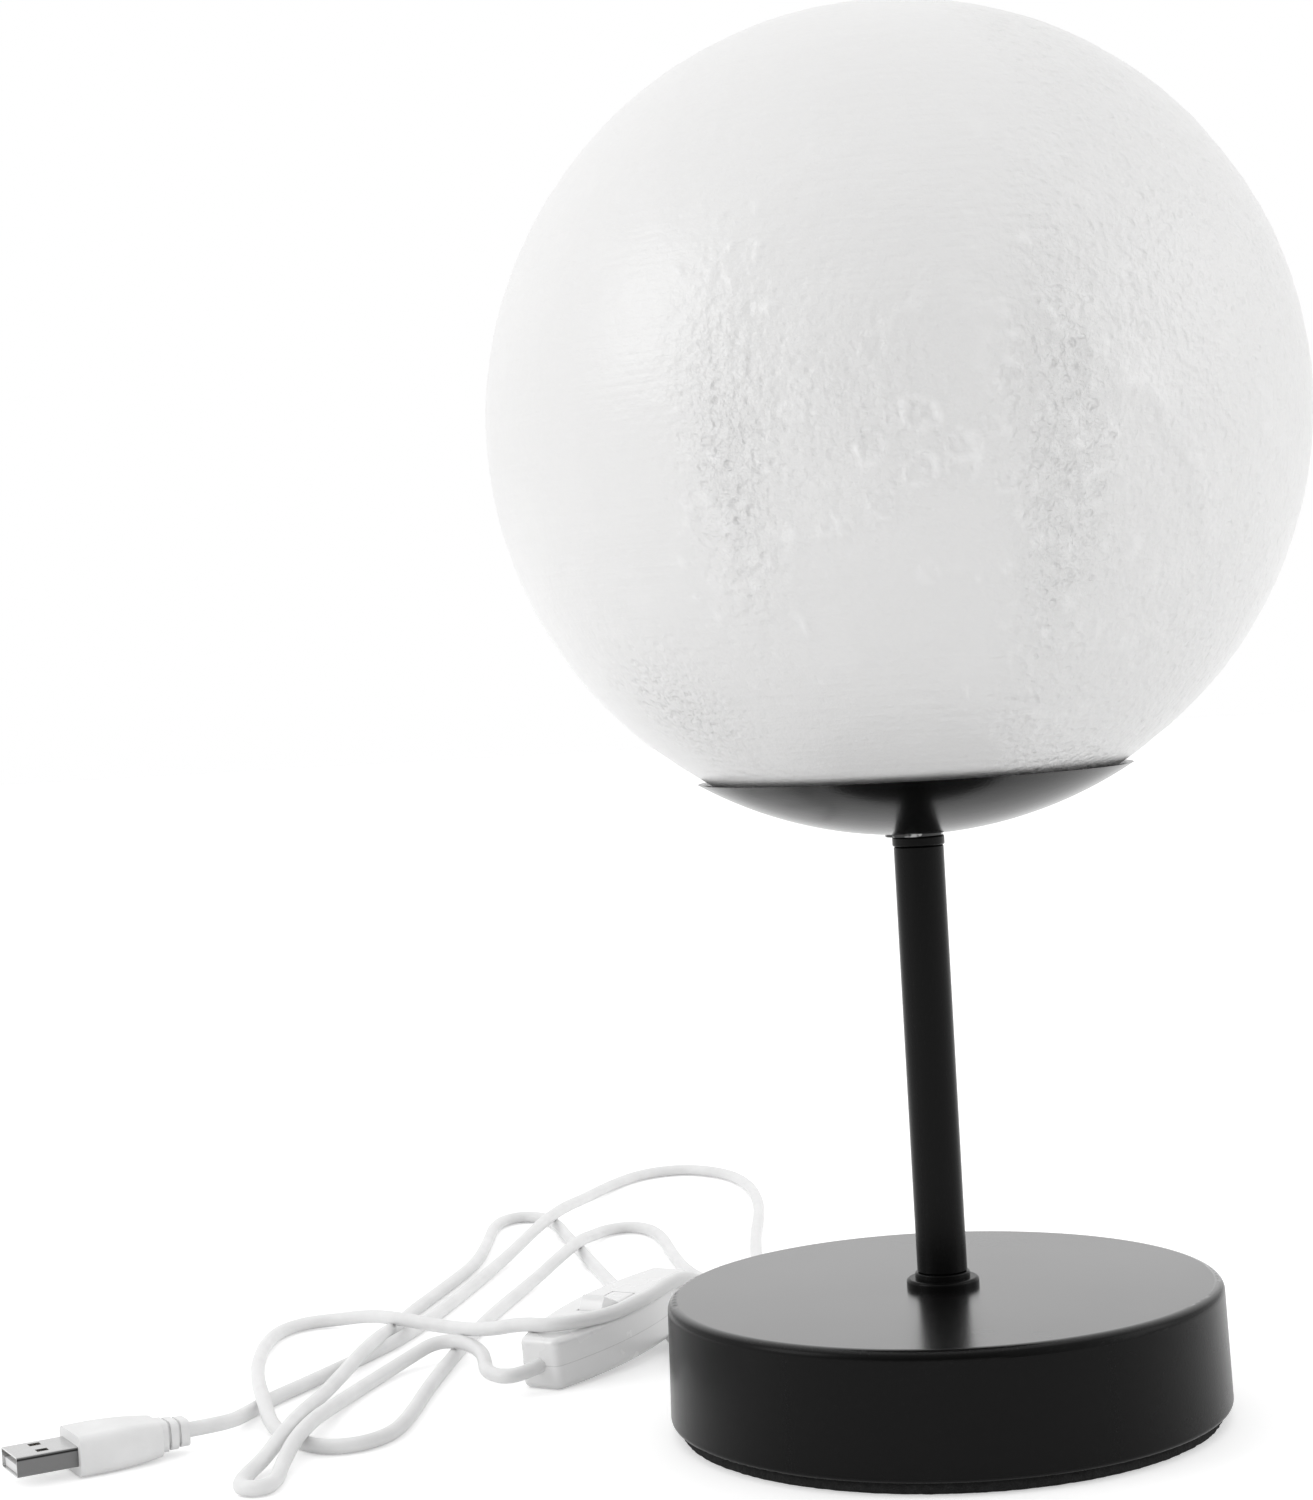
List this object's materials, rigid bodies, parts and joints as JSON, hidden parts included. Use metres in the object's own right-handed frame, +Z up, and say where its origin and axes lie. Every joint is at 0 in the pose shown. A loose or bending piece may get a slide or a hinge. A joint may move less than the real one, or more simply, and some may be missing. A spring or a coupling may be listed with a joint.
{
  "type": "moon lamp",
  "caption": "Table lamp with a cratered moon globe in a shallow black cup, on a thin stem and round weighted base, with a USB cord and an inline rocker switch.",
  "frame": {"origin": "on the resting surface, under the middle of the round base", "axes": "+Z up along the stem through the globe's centre; +X to the right and +Y away in the view of the picture, with the cord lying towards -X +Y"},
  "size_m": [0.2975, 0.4166, 0.3104],
  "materials": {
    "satin_black_steel": "satin black powder coat",
    "ballast_iron": "raw cast",
    "black_foam": "matte closed-cell foam",
    "black_plate": "matte black",
    "black_rubber": "matte",
    "zinc_steel": "zinc plated",
    "printed_white": "matte printed layers, translucent off-white",
    "white_plastic": "satin",
    "gloss_white": "glossy",
    "board_white": "white solder mask",
    "chip_yellow": "phosphor in a white package",
    "plug_steel": "nickel plated, satin",
    "contact_metal": "plated",
    "white_cable": "satin vinyl"
  },
  "bodies": {
    "lamp": {"base_cover": "satin_black_steel", "ballast_disc": "ballast_iron", "bottom_plate": "black_plate", "foam_pad": "black_foam", "cord_grommet": "black_rubber", "lead_clamp": "black_rubber", "stem_tube": "satin_black_steel", "stem_collar": "satin_black_steel", "stem_ferrule": "satin_black_steel", "stem_washer": "zinc_steel", "base_star_washer": "zinc_steel", "base_nut": "zinc_steel", "lower_rod": "zinc_steel", "upper_rod": "zinc_steel", "cup_star_washer": "zinc_steel", "cup_nut": "zinc_steel", "holder_nut": "zinc_steel", "cup": "satin_black_steel", "moon_globe": "printed_white", "light_holder": "white_plastic", "light_board": "board_white", "light_chips": "chip_yellow", "board_screws": "zinc_steel", "globe_screws": "zinc_steel", "switch_base": "gloss_white", "switch_cover": "gloss_white", "switch_terminals": "contact_metal", "switch_leads": "white_cable", "switch_screws": "zinc_steel", "usb_shell": "plug_steel", "usb_insulator": "white_plastic", "usb_contacts": "contact_metal", "usb_grip": "white_cable", "usb_strain_relief": "white_cable", "cord_to_lamp": "white_cable", "cord_to_plug": "white_cable", "inner_lead": "white_cable"},
    "rocker": {"switch_rocker": "gloss_white", "rocker_plunger": "white_plastic"},
    "blade": {"contact_blade": "contact_metal"}
  },
  "joints": [
    {"name": "rocker_tilt", "type": "hinge", "parent": "lamp", "child": "rocker", "pos_m": [-0.0825, 0.0647, 0.01163], "axis": [0.8949, -0.4462, 0], "range_deg": [0, 27]},
    {"name": "blade_tip", "type": "hinge", "parent": "lamp", "child": "blade", "pos_m": [-0.0823, 0.0651, 0.00525], "axis": [-0.8949, 0.4462, 0], "range_deg": [0, 16]}
  ],
  "couplings": [
    {"joint": "blade_tip", "follows": "rocker_tilt", "ratio": 0.59259}
  ]
}
